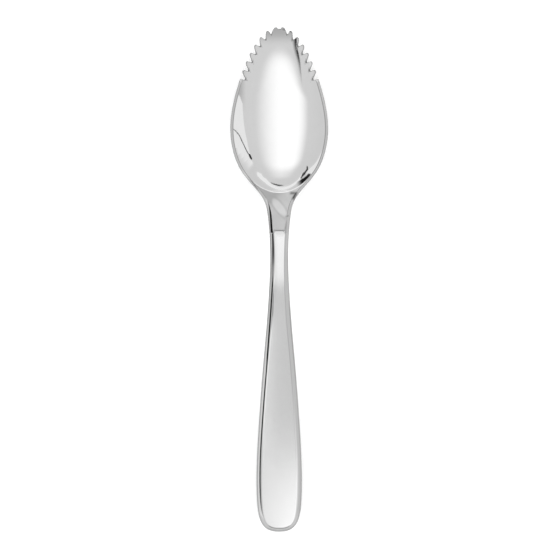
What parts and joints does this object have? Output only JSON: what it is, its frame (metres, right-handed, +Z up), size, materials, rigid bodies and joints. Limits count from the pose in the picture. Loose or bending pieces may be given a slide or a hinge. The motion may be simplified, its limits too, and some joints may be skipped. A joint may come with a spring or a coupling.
{
  "type": "grapefruit spoon",
  "caption": "Polished steel spoon with rounded teeth round the nose of its bowl and a bevelled handle, for cutting and lifting citrus segments.",
  "frame": {"origin": "on the table under the middle of the spoon, as it rests hollow side up", "axes": "+Y along the spoon from the handle to the toothed nose, +X across it to the right, +Z up out of the hollow"},
  "size_m": [0.032, 0.1649, 0.0164],
  "materials": {
    "polished_steel": "mirror-polished stainless steel with very fine polishing marks along the handle"
  },
  "bodies": {
    "root": {"bowl": "polished_steel", "handle": "polished_steel"}
  },
  "joints": []
}
